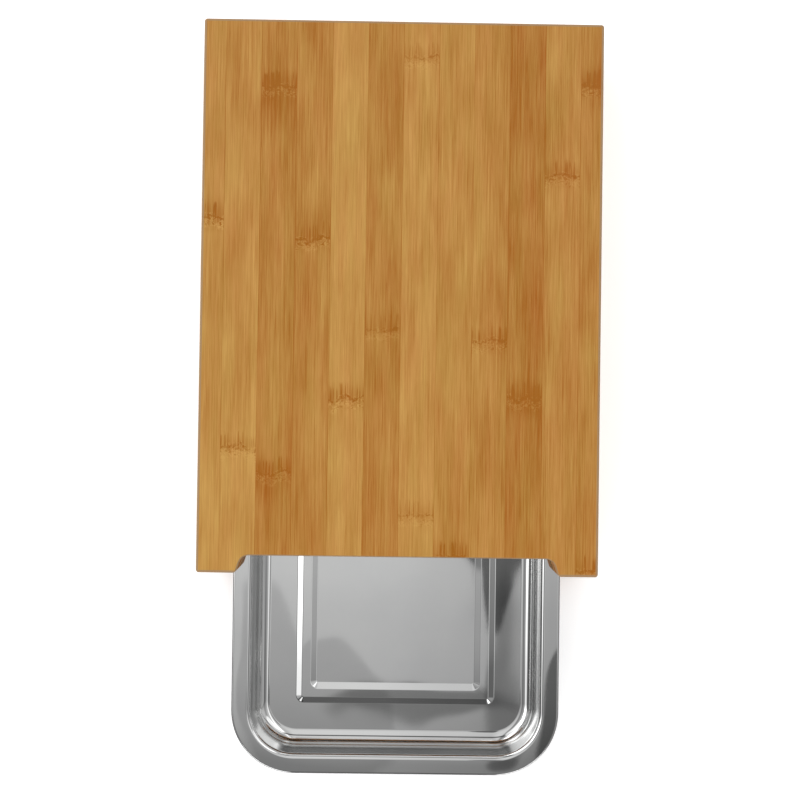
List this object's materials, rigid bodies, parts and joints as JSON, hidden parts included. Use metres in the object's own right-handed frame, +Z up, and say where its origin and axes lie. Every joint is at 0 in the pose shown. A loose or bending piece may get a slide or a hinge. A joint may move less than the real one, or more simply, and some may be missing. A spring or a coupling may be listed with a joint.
{
  "type": "cutting board with slide-out tray",
  "caption": "Laminated bamboo cutting board on side rails, with a notch in its front edge and a pressed steel tray that slides out under it.",
  "frame": {"origin": "on the table, under the middle of the box that holds the board and the pulled-out tray", "axes": "+X to the right, +Y to the back of the board, +Z up; the tray comes out towards -Y"},
  "size_m": [0.275, 0.523, 0.048],
  "materials": {
    "bamboo_face": "oiled satin",
    "bamboo_backing": "sanded satin",
    "bamboo_core": "sanded matt",
    "bamboo_rail": "oiled satin",
    "stainless_steel": "satin rolled",
    "screw_steel": "zinc plated",
    "foot_rubber": "matt"
  },
  "bodies": {
    "board": {"face_stave_01": "bamboo_face", "face_stave_02": "bamboo_face", "face_stave_03": "bamboo_face", "face_stave_04": "bamboo_face", "face_stave_05": "bamboo_face", "face_stave_06": "bamboo_face", "face_stave_07": "bamboo_face", "face_stave_08": "bamboo_face", "face_stave_09": "bamboo_face", "face_stave_10": "bamboo_face", "face_stave_11": "bamboo_face", "face_stave_12": "bamboo_face", "backing_stave_01": "bamboo_backing", "backing_stave_02": "bamboo_backing", "backing_stave_03": "bamboo_backing", "backing_stave_04": "bamboo_backing", "backing_stave_05": "bamboo_backing", "backing_stave_06": "bamboo_backing", "backing_stave_07": "bamboo_backing", "backing_stave_08": "bamboo_backing", "backing_stave_09": "bamboo_backing", "backing_stave_10": "bamboo_backing", "backing_stave_11": "bamboo_backing", "backing_stave_12": "bamboo_backing", "core_ply": "bamboo_core", "side_rail_left": "bamboo_rail", "side_rail_right": "bamboo_rail", "back_rail": "bamboo_rail", "side_rail_screws": "screw_steel", "back_rail_screws": "screw_steel", "foot_screws": "screw_steel", "foot_front_left": "foot_rubber", "foot_front_right": "foot_rubber", "foot_back_left": "foot_rubber", "foot_back_right": "foot_rubber"},
    "tray": {"tray": "stainless_steel"}
  },
  "joints": [
    {"name": "tray_slide", "type": "slide", "parent": "board", "child": "tray", "axis": [0, -1, 0], "range_m": [-0.1405, 0.225]}
  ]
}
